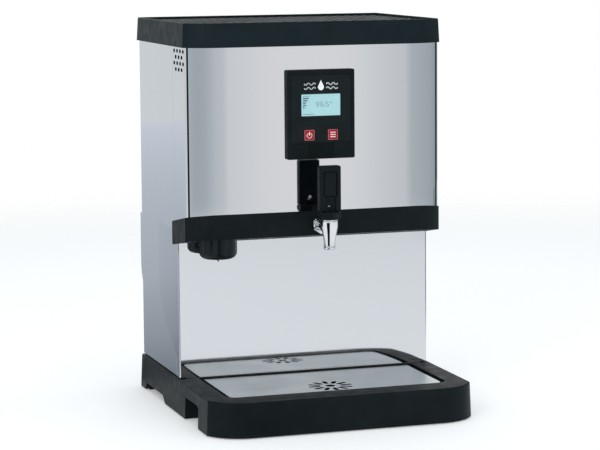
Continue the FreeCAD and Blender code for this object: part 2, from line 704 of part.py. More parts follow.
def filter_head():
    """Fixed cup that the cartridge pushes up into, with inlet and outlet barbs at the rear."""
    x, depth = FILTER_X, FILTER_DEPTH
    cup = upright(26.0, x, depth, 403, 444)
    barbs = both(lambda s: foreaft(4.0, x + 12 * s, HEAD_PORT_Z, 205, 240))
    bores = [upright(20.4, x, depth, 402, 428), upright(10.0, x, depth, 427, 433)]
    return less(join(cup, *barbs), *bores)


def filter_bracket():
    """Steel plate that hangs the filter head from the side strip."""
    plate = slab([(-194.6, 226, 0.0), (-118, 226, 6.0), (-118, 272, 6.0), (-176, 272, 0.0),
                  (-194.6, 258, 0.0)], 444, 446)
    ear = block(-194.6, -193.1, 226, 256, 444, 478)
    return join(plate, ear)


def filter_valve_sleeve():
    """Shut-off sleeve in the filter head; the cartridge's two lugs slide up its slots and turn it."""
    x, depth = FILTER_X, FILTER_DEPTH
    ring = less(upright(20.0, x, depth, 405, 427), upright(15.5, x, depth, 404, 428))
    slots = block(x - 18.6, x + 18.6, depth - 2.6, depth + 2.6, 404, 422)
    return less(ring, slots)


def filter_cartridge():
    x, depth = FILTER_X, FILTER_DEPTH
    profile = [(0, 245.2), (23.6, 245.2), (23.6, 272.2), (26.0, 272.2), (26.0, 392), (22.0, 399),
               (15.0, 400), (15.0, 423), (13.0, 425), (0, 425)]
    lugs = block(x - 18, x + 18, depth - 2, depth + 2, 412, 418)
    return join(turned(profile, x, depth), lugs)


def filter_knob():
    """Cup-shaped fluted grip on the cartridge's foot, with a moulding pip under it."""
    x, depth, low = FILTER_X, FILTER_DEPTH, FILTER_BOTTOM
    radius, flute_radius, flute_depth, flutes = 28.0, 18.0, 1.3, 8
    shell = upright(radius, x, depth, low, 272)
    shell = eased(shell, 10.0, lambda b: b.ZMax < low + 0.1)
    cuts = [upright(23.8, x, depth, 245.0, 273)]
    for i in range(flutes):
        turn = math.radians(360 / flutes * (i + 0.35))
        reach = radius + flute_radius - flute_depth
        cuts.append(upright(flute_radius, x + reach * math.sin(turn), depth + reach * math.cos(turn),
                            low - 1, 273))
    pip = Part.makeCone(0.9, 1.8, 5.5, at(x, depth, low - 5), V(0, 0, 1))
    return join(less(shell, *cuts), pip)


# ---- tank ---------------------------------------------------------------------------------
FLANGE_RADIUS = 108.0
SCREW_RING = 103.5
LID_LOW = TANK_RIM + 2.5
LID_HIGH = LID_LOW + 2.0


def tank_screw_places():
    places = []
    for i in range(8):
        turn = math.radians(22.5 + 45 * i)
        places.append((TANK_X + SCREW_RING * math.cos(turn), TANK_DEPTH + SCREW_RING * math.sin(turn)))
    return places


def tank_screw_holes(z0, z1):
    return [upright(2.8, x, depth, z0, z1) for x, depth in tank_screw_places()]


def tank_body():
    x, depth = TANK_X, TANK_DEPTH
    wall = 1.5
    shell = join(upright(TANK_RADIUS, x, depth, TANK_BOTTOM, TANK_RIM),
                 upright(FLANGE_RADIUS, x, depth, TANK_RIM - 1.5, TANK_RIM))
    inside = upright(TANK_RADIUS - wall, x, depth, TANK_BOTTOM + wall, TANK_RIM + 1)
    element_hole = upright(16.2, x, depth, TANK_BOTTOM - 1, TANK_BOTTOM + 3)
    outlet_hole = foreaft(4.0, x, OUTLET_Z, depth + 80, depth + 110)
    return less(shell, inside, element_hole, outlet_hole, *tank_screw_holes(TANK_RIM - 3, TANK_RIM + 1))


OUTLET_Z = 318.0


def tank_jacket():
    """Insulation sleeve round the tank."""
    x, depth = TANK_X, TANK_DEPTH
    sleeve = upright(109.0, x, depth, TANK_BOTTOM + 2, TANK_RIM - 8)
    core = upright(TANK_RADIUS + 0.3, x, depth, TANK_BOTTOM, TANK_RIM)
    return less(sleeve, core, foreaft(7.0, x, OUTLET_Z, depth + 80, depth + 120))


def tank_gasket():
    x, depth = TANK_X, TANK_DEPTH
    ring = less(upright(FLANGE_RADIUS, x, depth, TANK_RIM, LID_LOW),
                upright(TANK_RADIUS - 1.5, x, depth, TANK_RIM - 1, LID_LOW + 1))
    return less(ring, *tank_screw_holes(TANK_RIM - 1, LID_LOW + 1))


PROBE_PLACES = [(-30.0, -20.0, 330.0), (0.0, -34.0, 440.0), (30.0, -20.0, 478.0)]
SENSOR_PLACE = (-10.0, 46.0)
VENT_PLACE = (60.0, 0.0)
FILL_PLACE = (-60.0, 20.0)


def tank_lid():
    x, depth = TANK_X, TANK_DEPTH
    plate = upright(FLANGE_RADIUS, x, depth, LID_LOW, LID_HIGH)
    holes = [upright(5.3, x + dx, depth + dd, LID_LOW - 1, LID_HIGH + 1) for dx, dd, _ in PROBE_PLACES]
    holes.append(upright(4.2, x + SENSOR_PLACE[0], depth + SENSOR_PLACE[1], LID_LOW - 1, LID_HIGH + 1))
    for dx, dd in (VENT_PLACE, FILL_PLACE):
        holes.append(upright(3.5, x + dx, depth + dd, LID_LOW - 1, LID_HIGH + 1))
    return less(plate, *holes, *tank_screw_holes(LID_LOW - 1, LID_HIGH + 1))


def tank_screws():
    screws = []
    for x, depth in tank_screw_places():
        shank = upright(2.5, x, depth, TANK_RIM - 7, LID_HIGH + 0.5)
        head = upright(4.2, x, depth, LID_HIGH, LID_HIGH + 3.5)
        nut = hexagon(8.6, TANK_RIM - 5.5, TANK_RIM - 1.5, x, depth)
        screws.append(join(shank, head, nut))
    return Part.makeCompound(screws)


def heating_element():
    """Immersion loop on a screwed head under the tank."""
    x, depth, level = TANK_X, TANK_DEPTH, 332.0
    path = [(-11, 0, 297), (-11, 0, level), (-62, 0, level), (-62, 52, level), (62, 52, level),
            (62, 0, level), (11, 0, level), (11, 0, 297)]
    loop = tube([at(x + dx, depth + dd, z) for dx, dd, z in path], 4.2, 9.0)
    head = join(upright(30.0, x, depth, 288, TANK_BOTTOM), upright(16.0, x, depth, 297, 301))
    tabs = both(lambda s: block(x + 11 * s - 3, x + 11 * s + 3, depth - 0.4, depth + 0.4, 276, 289))
    return join(head, loop, *tabs)


def level_probes():
    probes = []
    for dx, dd, low in PROBE_PLACES:
        bush = upright(5.0, TANK_X + dx, TANK_DEPTH + dd, LID_LOW - 4, LID_HIGH + 14)
        probes.append(join(bush, upright(2.0, TANK_X + dx, TANK_DEPTH + dd, low, LID_HIGH + 22)))
    return Part.makeCompound(probes)


def temperature_probe():
    x, depth = TANK_X + SENSOR_PLACE[0], TANK_DEPTH + SENSOR_PLACE[1]
    return join(upright(4.0, x, depth, 360, LID_HIGH + 1), upright(7.5, x, depth, LID_HIGH, LID_HIGH + 9))


def overheat_cutout():
    """Boil-dry cut-out clipped to the tank's lid, with its reset pin and two blades."""
    x, depth = TANK_X + 20, TANK_DEPTH + 30
    body = join(upright(12.0, x, depth, LID_HIGH, LID_HIGH + 3),
                upright(8.5, x, depth, LID_HIGH, LID_HIGH + 13))
    blades = both(lambda s: block(x + 5 * s - 0.4, x + 5 * s + 0.4, depth - 3, depth + 3,
                                  LID_HIGH + 12, LID_HIGH + 21))
    return join(body, upright(2.0, x, depth, LID_HIGH + 12, LID_HIGH + 16), *blades)


def steam_vent_pipe():
    x, depth = TANK_X + VENT_PLACE[0], TANK_DEPTH + VENT_PLACE[1]
    return tube([at(x, depth, LID_HIGH), at(x, depth, 542), at(x, 12, 542)], 5.0, 12.0)


def fill_pipe():
    x, depth = TANK_X + FILL_PLACE[0], TANK_DEPTH + FILL_PLACE[1]
    hose_x = FILTER_X + 12
    return tube([at(hose_x, 205, HEAD_PORT_Z), at(hose_x, 176, HEAD_PORT_Z), at(hose_x, 160, 536),
                 at(x, depth, 536), at(x, depth, LID_HIGH)], 4.5, 10.0)


SHANK_REAR = 262.0


def outlet_pipe():
    x = TANK_X
    points = [at(x, TANK_DEPTH + TANK_RADIUS + 0.4, OUTLET_Z), at(x, 242, OUTLET_Z), at(0, 242, 300),
              at(0, 242, SHANK_Z), at(0, SHANK_REAR, SHANK_Z)]
    return tube(points, 5.0, 7.0)


# ---- tap ----------------------------------------------------------------------------------
BAND_FACE = HEAD_DEPTH + BAND_OUTSET
CAVITY_RADIUS = 7.5
CAVITY_FLOOR = 277.0
OUTLET_RADIUS = 6.0


def spout_shape():
    """The spout: wide under the bonnet, drawn in by a smooth curve, nearly straight at the tip."""
    outline = [(8.6, SPOUT_TIP + 0.8), (8.7, 265.0), (9.5, 271.5), (11.7, 281.5), (13.1, SPOUT_TOP)]
    side = Part.BSplineCurve()
    side.interpolate([at(radius, TAP_DEPTH, z) for radius, z in outline])
    tip_rim, tip_middle = at(7.9, TAP_DEPTH, SPOUT_TIP), at(0, TAP_DEPTH, SPOUT_TIP)
    top_rim, top_middle = at(13.1, TAP_DEPTH, SPOUT_TOP), at(0, TAP_DEPTH, SPOUT_TOP)
    edges = [side.toShape(), straight(top_rim, top_middle), straight(top_middle, tip_middle),
             straight(tip_middle, tip_rim), straight(tip_rim, at(8.6, TAP_DEPTH, SPOUT_TIP + 0.8))]
    return Part.Face(Part.Wire(edges)).revolve(tip_middle, V(0, 0, 1), 360)


def tap_body():
    """Plated tap: shank through the skirt, hexagon, neck and tapered spout, all in one casting."""
    spout = spout_shape()
    shank = foreaft(8.0, 0, SHANK_Z, SHANK_REAR, TAP_DEPTH - 4)
    flange = hex_nut(27.0, 4.0, 0, SHANK_Z, BAND_FACE, BAND_FACE + 9)
    collar = foreaft(9.6, 0, SHANK_Z, BAND_FACE + 8, BAND_FACE + 14)
    cavity = upright(CAVITY_RADIUS, 0, TAP_DEPTH, CAVITY_FLOOR, SPOUT_TOP + 1)
    seat = upright(4.0, 0, TAP_DEPTH, CAVITY_FLOOR - 5, CAVITY_FLOOR + 1)
    outlet = upright(OUTLET_RADIUS, 0, TAP_DEPTH, SPOUT_TIP - 1, CAVITY_FLOOR - 4)
    bore = foreaft(4.0, 0, SHANK_Z, SHANK_REAR - 1, TAP_DEPTH)
    return less(join(spout, shank, flange, collar), cavity, seat, outlet, bore)


def tap_backnut():
    return hex_nut(24.0, 8.1, 0, SHANK_Z, BAND_FACE - BAND_OUTSET - 6.7, BAND_FACE - BAND_OUTSET + 0.3)


def tap_bonnet():
    """Black six-sided cap that closes the valve and carries the lever's heel."""
    depth = TAP_DEPTH
    hexagonal = hexagon(35.8, SPOUT_TOP, BONNET_TOP, 0, depth)
    trim = turned([(0, SPOUT_TOP), (14.6, SPOUT_TOP), (17.6, SPOUT_TOP + 4.0), (17.9, BONNET_TOP - 2.4),
                   (16.0, BONNET_TOP), (0, BONNET_TOP)], 0, depth)
    return less(hexagonal.common(trim), upright(3.0, 0, depth, SPOUT_TOP - 1, BONNET_TOP + 1))


def tap_stem():
    """Valve stem: flange over the washer, round rod, and a flat tongue for the lever's pin."""
    depth = TAP_DEPTH
    rod = upright(2.5, 0, depth, 280.5, 308)
    flange = upright(6.2, 0, depth, 279.5, 281.5)
    tongue = block(-2.8, 2.8, depth - 2.4, depth + 2.4, 307.0, 314.4)
    pin_hole = crosswise(1.5, -5, 5, depth, PIN_Z)
    return less(join(rod, flange, tongue), pin_hole)


def tap_seat_washer():
    return upright(6.0, 0, TAP_DEPTH, CAVITY_FLOOR, 279.5)


def tap_spring():
    return coil(0, TAP_DEPTH, 281.7, SPOUT_TOP - 0.2, 4.0, 0.6, 5)


def tap_pivot_pin():
    return crosswise(1.5, -13.0, 13.0, TAP_DEPTH, PIN_Z)


LEVER_SCREW_Z = 318.8


def lever_screw():
    """Bright domed screw in the lever's back, just above the slot for the stem."""
    rear = TAP_DEPTH - LEVER_THICK / 2
    head = foreaft(2.7, 0, LEVER_SCREW_Z, rear - 1.8, rear)
    head = eased(head, 1.5, lambda b: b.YMin > Y_REAR - rear + 1.7)
    return join(head, foreaft(1.4, 0, LEVER_SCREW_Z, rear - 0.5, rear + 5.0))


def tap_lever():
    """Flat upright lever: thumb recess, notched foot, and a slot that straddles the stem."""
    rear, front = TAP_DEPTH - LEVER_THICK / 2, TAP_DEPTH + LEVER_THICK / 2
    body = front_slab([(-LEVER_HALF, LEVER_BOTTOM, 0.8), (LEVER_HALF, LEVER_BOTTOM, 0.8),
                       (LEVER_HALF, LEVER_TOP, 2.6), (-LEVER_HALF, LEVER_TOP, 2.6)], rear, front)
    body = eased(body, 1.2, lambda b: b.ZLength > 40 and b.YLength < 0.01)
    thumb = front_slab(rectangle(-10.5, 10.5, 328.4, 366.0, 3.0), front - 3.0, front + 1)
    pad = front_slab(rectangle(-8.9, 8.9, 330.0, 364.4, 2.0), front - 3.5, front - 1.2)
    notch = front_slab([(-8, LEVER_BOTTOM - 1, 0.0), (8, LEVER_BOTTOM - 1, 0.0), (8, 327.0, 0.8),
                        (4.2, 327.0, 0.0), (0, 321.5, 0.0), (-4.2, 327.0, 0.0), (-8, 327.0, 0.8)],
                       front - 2.6, front + 1)
    slot = block(-3.3, 3.3, rear - 1, front + 1, LEVER_BOTTOM - 1, 315.8)
    pin_hole = crosswise(1.56, -13.4, 13.4, TAP_DEPTH, PIN_Z)
    screw_hole = foreaft(1.4, 0, LEVER_SCREW_Z, rear - 1, rear + 5.0)
    return less(body, less(thumb, pad), notch, slot, pin_hole, screw_hole)


# ---- drip tray ----------------------------------------------------------------------------
OPENING_HALF, OPENING_FRONT = 168.5, 376.0
LEDGE_Z = 45.0
PAD_PLACES = [(-137.0, 398.0), (137.0, 398.0)]


def tray_slab(half, d0, d1, z0, z1, radius):
    corners = [(-half, d0, 1.0), (half, d0, 1.0), (half, d1, radius), (-half, d1, radius)]
    return slab(corners, z0, z1)


def drip_tray():
    """Black tray: wide rim, creased corners, side flanges over the base's arms, sunken basin."""
    rear = BASE_STEP_DEPTH
    outer = plan_taper(TRAY_CORNER, (BASE_DRAFT, rear, FOOT_DROP), (0.0, rear, BASE_TOP))
    crease_y = Y_REAR - TRAY_CREASE
    outer = eased(outer, TRAY_CREASE_EASE, lambda b: b.ZLength > 40 and abs(b.YMin - crease_y) < 4)
    outer = eased(outer, TRAY_EDGE, lambda b: b.ZMin > BASE_TOP - 0.01 and b.YMin < Y_REAR - rear - 1)
    inner = plan_taper(TRAY_CORNER, (BASE_DRAFT - WALL, rear - 5, FOOT_DROP - 1),
                       (-WALL, rear - 5, BASE_TOP - WALL))
    opening = tray_slab(OPENING_HALF, rear - 10, OPENING_FRONT, 0, BASE_TOP + 5, 16.0)
    side_cut = side_slab([(rear - 10, 0, 0.0), (TRAY_LEG_DEPTH, 0, 0.0),
                          (TRAY_LEG_DEPTH, TRAY_SIDE_BOTTOM, 8.0), (rear - 10, TRAY_SIDE_BOTTOM, 0.0)],
                         -BASE_HALF - 10, BASE_HALF + 10)
    rear_cut = block(-188, 188, rear - 10, TRAY_REAR, 0, BASE_TOP + 5)
    shell = less(outer, inner, opening, side_cut, rear_cut)
    arms = both(lambda s: block(min(s * 188, s * 196), max(s * 188, s * 196), rear, TRAY_REAR + 3,
                                TRAY_SIDE_BOTTOM, BASE_TOP))
    ledge = less(tray_slab(171.0, TRAY_REAR, 378.5, LEDGE_Z - 2.5, BASE_TOP, 18.0),
                 tray_slab(OPENING_HALF, 222.0, OPENING_FRONT, LEDGE_Z, BASE_TOP + 5, 16.0))
    basin = tray_slab(BASIN_HALF + 2.5, 225.5, 368.5, BASIN_FLOOR - 2.5, LEDGE_Z, 14.0)
    hollow = tray_slab(BASIN_HALF, 228.0, 366.0, BASIN_FLOOR, BASE_TOP + 5, 12.0)
    bosses = [upright(11.0, x, depth, FOOT_DROP, BASE_TOP - 1) for x, depth in PAD_PLACES]
    bosses = [less(boss, upright(4.2, x, depth, 0, 9)) for boss, (x, depth) in zip(bosses, PAD_PLACES)]
    return less(join(shell, ledge, basin, *arms, *bosses), hollow)


def tray_pads():
    pads = []
    for x, depth in PAD_PLACES:
        pads.append(join(upright(10.0, x, depth, 0, FOOT_DROP), upright(4.0, x, depth, 1, 8.5)))
    return Part.makeCompound(pads)


PLATE_TOP = 50.3
PLATE_HALF, PLATE_REAR, PLATE_FRONT = 161.5, 223.5, 371.0
BURST_DEPTH = 334.0
BURST_SLOTS = 12


def drip_plate():
    """Lift-off steel plate with turned-down edges and a sunburst of slots under the spout."""
    plate = tray_slab(PLATE_HALF, PLATE_REAR, PLATE_FRONT, LEDGE_Z, PLATE_TOP, 12.0)
    under = tray_slab(PLATE_HALF - 1.5, PLATE_REAR + 1.5, PLATE_FRONT - 1.5, LEDGE_Z - 1,
                      PLATE_TOP - 1.5, 10.5)
    cuts = [upright(7.2, 0, BURST_DEPTH, 40, 60)]
    for i in range(BURST_SLOTS):
        slot = Part.Face(rounded(obround(24.2, 0, 18.2, 6.8), lambda a, b: V(a, b, 40)))
        slot = slot.extrude(V(0, 0, 20))
        slot.rotate(V(0, 0, 0), V(0, 0, 1), 360 / BURST_SLOTS * i)
        slot.translate(at(0, BURST_DEPTH, 0))
        cuts.append(slot)
    return less(plate, under, *cuts)


# ---- every piece --------------------------------------------------------------------------
def build():
    os.makedirs("parts", exist_ok=True)
    left_side, left_strip = side_panel(), vent_strip()
    pieces = {
        "base_moulding": base_moulding(), "base_feet": base_feet(),
        "chassis_frame": chassis_frame(), "tank_shelf": tank_shelf(),
        "left_side_panel": left_side, "right_side_panel": mirrored(left_side),
        "rear_panel": rear_panel(), "casing_screws": casing_screws(), "splashback": splashback(),
        "left_vent_strip": left_strip, "right_vent_strip": mirrored(left_strip),
        "edge_seals": edge_seals(),
        "front_panel": front_panel(), "head_skirt": head_skirt(),
        "lid": lid(),
        "control_bezel": control_bezel(), "keypad_overlay": keypad_overlay(),
        "display_window": display_window(), "status_window": status_window(),
        "power_key": key_cap(-1), "function_key": key_cap(1), "display_board": display_board(),
        "main_board": main_board(), "board_standoffs": board_standoffs(),
        "terminal_block": terminal_block(), "cable_gland": cable_gland(),
        "inlet_valve_body": inlet_valve_body(), "inlet_valve_coil": inlet_valve_coil(),
        "inlet_valve_plunger": inlet_valve_plunger(), "inlet_valve_spring": inlet_valve_spring(),
        "supply_hose": supply_hose(), "filter_head": filter_head(),
        "filter_bracket": filter_bracket(), "filter_valve_sleeve": filter_valve_sleeve(),
        "filter_cartridge": filter_cartridge(), "filter_knob": filter_knob(),
        "tank_body": tank_body(), "tank_jacket": tank_jacket(), "tank_gasket": tank_gasket(),
        "tank_lid": tank_lid(), "tank_screws": tank_screws(), "heating_element": heating_element(),
        "level_probes": level_probes(), "temperature_probe": temperature_probe(),
        "overheat_cutout": overheat_cutout(), "steam_vent_pipe": steam_vent_pipe(),
        "fill_pipe": fill_pipe(), "outlet_pipe": outlet_pipe(),
        "tap_body": tap_body(), "tap_backnut": tap_backnut(), "tap_bonnet": tap_bonnet(),
        "tap_stem": tap_stem(), "tap_seat_washer": tap_seat_washer(), "tap_spring": tap_spring(),
        "tap_pivot_pin": tap_pivot_pin(), "tap_lever": tap_lever(), "lever_screw": lever_screw(),
        "drip_tray": drip_tray(), "tray_pads": tray_pads(), "drip_plate": drip_plate(),
    }
    for node, shape in pieces.items():
        save(node, shape)


build()
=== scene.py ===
"""Looks for the countertop hot water dispenser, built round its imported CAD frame. Metres."""

import json
import math

import bmesh
import bpy
from mathutils import Matrix, Vector

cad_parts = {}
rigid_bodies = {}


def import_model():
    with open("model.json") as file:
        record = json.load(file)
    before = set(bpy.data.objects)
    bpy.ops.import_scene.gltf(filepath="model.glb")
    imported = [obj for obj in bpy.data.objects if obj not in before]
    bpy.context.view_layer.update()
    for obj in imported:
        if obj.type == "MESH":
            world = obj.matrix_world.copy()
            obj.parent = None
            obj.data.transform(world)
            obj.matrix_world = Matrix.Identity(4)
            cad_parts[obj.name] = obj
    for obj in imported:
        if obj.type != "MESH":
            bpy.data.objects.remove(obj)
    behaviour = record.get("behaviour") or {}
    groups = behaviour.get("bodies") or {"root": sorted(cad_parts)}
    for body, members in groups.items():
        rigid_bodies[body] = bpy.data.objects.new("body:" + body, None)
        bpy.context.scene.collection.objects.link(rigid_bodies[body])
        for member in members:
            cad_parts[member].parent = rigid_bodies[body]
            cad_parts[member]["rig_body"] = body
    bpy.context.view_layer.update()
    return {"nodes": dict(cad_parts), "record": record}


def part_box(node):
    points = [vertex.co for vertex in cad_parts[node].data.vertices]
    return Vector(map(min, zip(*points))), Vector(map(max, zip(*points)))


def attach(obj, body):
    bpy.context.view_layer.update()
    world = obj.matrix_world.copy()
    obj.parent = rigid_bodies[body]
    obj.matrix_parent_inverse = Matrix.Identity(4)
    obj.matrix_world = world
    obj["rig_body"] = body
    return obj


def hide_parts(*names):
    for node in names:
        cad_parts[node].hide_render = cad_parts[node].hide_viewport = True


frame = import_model()
SLOTS = {row["node"]: row["material_slot"] for row in frame["record"]["subparts"]}
MM = 0.001


# ---- materials ----------------------------------------------------------------------------
def new_material(name, color, roughness, metallic=0.0, **sockets):
    """A Principled material; sockets are extra inputs by name, with _ for a space."""
    made = bpy.data.materials.new(name)
    made.use_nodes = True
    shader = made.node_tree.nodes["Principled BSDF"]
    shader.inputs["Base Color"].default_value = (*color, 1)
    shader.inputs["Roughness"].default_value = roughness
    shader.inputs["Metallic"].default_value = metallic
    for socket, value in sockets.items():
        shader.inputs[socket.replace("_", " ")].default_value = value
    return made


def place(made, stretch=(1, 1, 1)):
    """Object coordinates in metres, stretched along an axis for brushed or drawn grain."""
    nodes, links = made.node_tree.nodes, made.node_tree.links
    where = nodes.new("ShaderNodeTexCoord")
    mapping = nodes.new("ShaderNodeMapping")
    mapping.inputs["Scale"].default_value = stretch
    links.new(where.outputs["Object"], mapping.inputs["Vector"])
    return mapping.outputs["Vector"]


def speckle(made, scale, detail=2.0, stretch=(1, 1, 1)):
    """The grey value of a noise texture."""
    texture = made.node_tree.nodes.new("ShaderNodeTexNoise")
    texture.inputs["Scale"].default_value = scale
    texture.inputs["Detail"].default_value = detail
    made.node_tree.links.new(place(made, stretch), texture.inputs["Vector"])
    return texture.outputs["Fac"]


def ranged(made, value, low, high):
    """The noise value spread over low to high."""
    remap = made.node_tree.nodes.new("ShaderNodeMapRange")
    remap.inputs["From Min"].default_value = 0.3
    remap.inputs["From Max"].default_value = 0.7
    remap.inputs["To Min"].default_value = low
    remap.inputs["To Max"].default_value = high
    made.node_tree.links.new(value, remap.inputs["Value"])
    return remap.outputs["Result"]


def vary_roughness(made, low, high, scale):
    shader = made.node_tree.nodes["Principled BSDF"]
    value = ranged(made, speckle(made, scale, 3.0), low, high)
    made.node_tree.links.new(value, shader.inputs["Roughness"])


def vary_color(made, dark, light, scale):
    nodes, links = made.node_tree.nodes, made.node_tree.links
    ramp = nodes.new("ShaderNodeValToRGB")
    ramp.color_ramp.elements[0].position = 0.3
    ramp.color_ramp.elements[0].color = (*dark, 1)
    ramp.color_ramp.elements[1].position = 0.7
    ramp.color_ramp.elements[1].color = (*light, 1)
    links.new(speckle(made, scale, 3.0), ramp.inputs["Fac"])
    links.new(ramp.outputs["Color"], nodes["Principled BSDF"].inputs["Base Color"])


def add_bump(made, scale, distance, stretch=(1, 1, 1)):
    """Surface grain: bumps of a height in metres."""
    nodes, links = made.node_tree.nodes, made.node_tree.links
    bump = nodes.new("ShaderNodeBump")
    bump.inputs["Strength"].default_value = 1.0
    bump.inputs["Distance"].default_value = distance
    links.new(speckle(made, scale, 2.0, stretch), bump.inputs["Height"])
    links.new(bump.outputs["Normal"], nodes["Principled BSDF"].inputs["Normal"])


def steel(name, color, rough, grain, stretch):
    """Bare metal with drawn grain along one axis and faint handling marks."""
    made = new_material(name, color, rough, 1.0)
    vary_roughness(made, rough * 0.8, rough * 1.25, 14)
    if grain:
        add_bump(made, 1.0, grain, stretch)
    return made


SHEEN_TINT = (0.82, 1.0, 1.06, 1.0)     # the moulded blacks shine a little blue


def moulding(name, color, rough, grain=0.00003, level=0.08):
    """Moulded plastic: fine spark-eroded grain, slightly uneven sheen."""
    made = new_material(name, color, rough, Specular_IOR_Level=level, Specular_Tint=SHEEN_TINT)
    darker = tuple(0.85 * c for c in color)
    lighter = tuple(1.2 * c for c in color)
    vary_color(made, darker, lighter, 35)
    vary_roughness(made, rough * 0.88, rough * 1.12, 60)
    add_bump(made, 1400, grain)
    return made


MIRROR_TINT = (0.632, 0.644, 0.672)
MATERIALS = {
    "steel_polished": steel("steel_polished", MIRROR_TINT, 0.05, 0.0000004, (900, 900, 12)),
    "steel_satin": steel("steel_satin", (0.55, 0.57, 0.60), 0.32, 0.000004, (40, 1500, 1500)),
    "steel_plain": steel("steel_plain", (0.52, 0.53, 0.54), 0.38, 0.000003, (700, 700, 700)),
    "plate_steel": steel("plate_steel", (0.555, 0.61, 0.63), 0.30, 0.000003, (1400, 1400, 1400)),
    "chrome": steel("chrome", (0.70, 0.71, 0.73), 0.04, 0.0, (1, 1, 1)),
    "spring_steel": steel("spring_steel", (0.50, 0.51, 0.53), 0.25, 0.0, (1, 1, 1)),
    "black_plastic": moulding("black_plastic", (0.0066, 0.0092, 0.0106), 0.48, level=0.10),
    # the lid: a lighter, bluer copy of the black moulding, painted bluish sheen on its rib tops
    "lid_painted_sheen": moulding("lid_painted_sheen", (0.0090, 0.0150, 0.0182), 0.48, level=0.10),
    "filter_plastic": moulding("filter_plastic", (0.0035, 0.0045, 0.0048), 0.30, level=0.22),
    "overlay": moulding("overlay", (0.0105, 0.0142, 0.0155), 0.42, 0.00001),
    "black_gloss": moulding("black_gloss", (0.0040, 0.0058, 0.0062), 0.25, 0.000002),
    # near-black for the walls inside the vents and slots and for the sheets behind the vents: painted
    # shade where they go dark
    "painted_slot_shade": moulding("painted_slot_shade", (0.012, 0.013, 0.014), 0.6, 0.00001),
    "red_key": moulding("red_key", (0.40, 0.012, 0.018), 0.35, 0.00001),
    "board": moulding("board", (0.02, 0.16, 0.07), 0.35, 0.00002, 0.5),
    "white_plastic": moulding("white_plastic", (0.72, 0.72, 0.70), 0.4, 0.00002, 0.5),
    "clear_hose": moulding("clear_hose", (0.62, 0.66, 0.68), 0.25, 0.00001, 0.5),
    "foam": moulding("foam", (0.05, 0.05, 0.055), 0.85, 0.0003, 0.3),
    "silicone": moulding("silicone", (0.55, 0.12, 0.06), 0.45, 0.00001, 0.4),
    "rubber": moulding("rubber", (0.012, 0.012, 0.013), 0.7, 0.00005),
    "print_pink": moulding("print_pink", (0.42, 0.22, 0.26), 0.5, 0.000005, 0.3),
    "print_white": moulding("print_white", (0.86, 0.88, 0.88), 0.5, 0.000005, 0.3),
    "lcd_ink": moulding("lcd_ink", (0.05, 0.055, 0.13), 0.4, 0.000005, 0.2),
    "brass": steel("brass", (0.70, 0.48, 0.20), 0.28, 0.000002, (1200, 60, 1200)),
}


def backlit_lcd():
    """Pale cyan display: uneven backlight behind a clear window."""
    made = new_material("lcd", (0.36, 0.60, 0.64), 0.12, Emission_Strength=0.22)
    made.node_tree.nodes["Principled BSDF"].inputs["Emission Color"].default_value = (0.5, 0.8, 0.84, 1)
    vary_color(made, (0.29, 0.50, 0.54), (0.34, 0.57, 0.61), 40)
    return made


MATERIALS["lcd"] = backlit_lcd()


# ---- mesh helpers -------------------------------------------------------------------------
def add_piece(name, mesh, body, finish, *replaced):
    """A new visible piece on a CAD body, with the finish of a material slot."""
    piece = bpy.data.objects.new(name, mesh)
    bpy.context.scene.collection.objects.link(piece)
    mesh.materials.clear()
    mesh.materials.append(MATERIALS[finish])
    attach(piece, body)
    if replaced:
        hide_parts(*replaced)
    return piece


def finish_mesh(bm, name, smooth_below=30):
    """Mesh from a bmesh, smooth shaded except across edges sharper than the angle."""
    bmesh.ops.recalc_face_normals(bm, faces=bm.faces)
    mesh = bpy.data.meshes.new(name)
    bm.to_mesh(mesh)
    bm.free()
    mesh.shade_smooth()
    mesh.set_sharp_from_angle(angle=math.radians(smooth_below))
    return mesh


def round_edges(piece, width, segments=3):
    bevel = piece.modifiers.new("edges", "BEVEL")
    bevel.width = width
    bevel.segments = segments
    bevel.limit_method = "ANGLE"
    bevel.angle_limit = math.radians(32)
    bevel.harden_normals = True
    bevel.miter_outer = "MITER_ARC"
    return piece


WELD = 0.000003             # metres between points that are one
FLAT_WITHIN = math.radians(0.3)


def refined(node, width, segments, slot_wall):
    """The node's shape as one welded, smooth-shaded mesh with rounded edges; it stands for the node.

    slot_wall tells from a face's centre and normal whether it is a slot's inner wall, which gets the
    near-black painted shade.
    """
    bm = bmesh.new()
    bm.from_mesh(frame["nodes"][node].data)
    bmesh.ops.remove_doubles(bm, verts=bm.verts, dist=WELD)
    bmesh.ops.dissolve_limit(bm, angle_limit=FLAT_WITHIN, verts=bm.verts, edges=bm.edges)
    mesh = finish_mesh(bm, node + "_finished")
    body = frame["nodes"][node]["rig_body"]
    piece = add_piece(node + "_finished", mesh, body, SLOTS[node], node)
    # the slot walls get the near-black finish: painted shade inside the slots
    if slot_wall:
        mesh.materials.append(MATERIALS["painted_slot_shade"])
        for face in mesh.polygons:
            if slot_wall(face.center, face.normal):
                face.material_index = 1
    return round_edges(piece, width, segments)


STRIP_LOW, STRIP_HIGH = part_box("left_vent_strip")
PLATE_LOW, PLATE_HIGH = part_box("drip_plate")


def vent_wall(center, normal):
    """Faces inside the side strips' vents, coloured near-black as painted shade."""
    edge_on = abs(normal.x) < 0.2
    inside = STRIP_LOW.y + 4 * MM < center.y < STRIP_HIGH.y - 4 * MM
    return edge_on and inside and STRIP_LOW.z + 5 * MM < center.z < STRIP_HIGH.z - 5 * MM


def burst_wall(center, normal):
    """Faces inside the drip plate's slots, coloured near-black as painted shade."""
    inside = abs(center.x) < 40 * MM and PLATE_LOW.y + 5 * MM < center.y < PLATE_HIGH.y - 5 * MM
    return inside and abs(normal.z) < 0.3


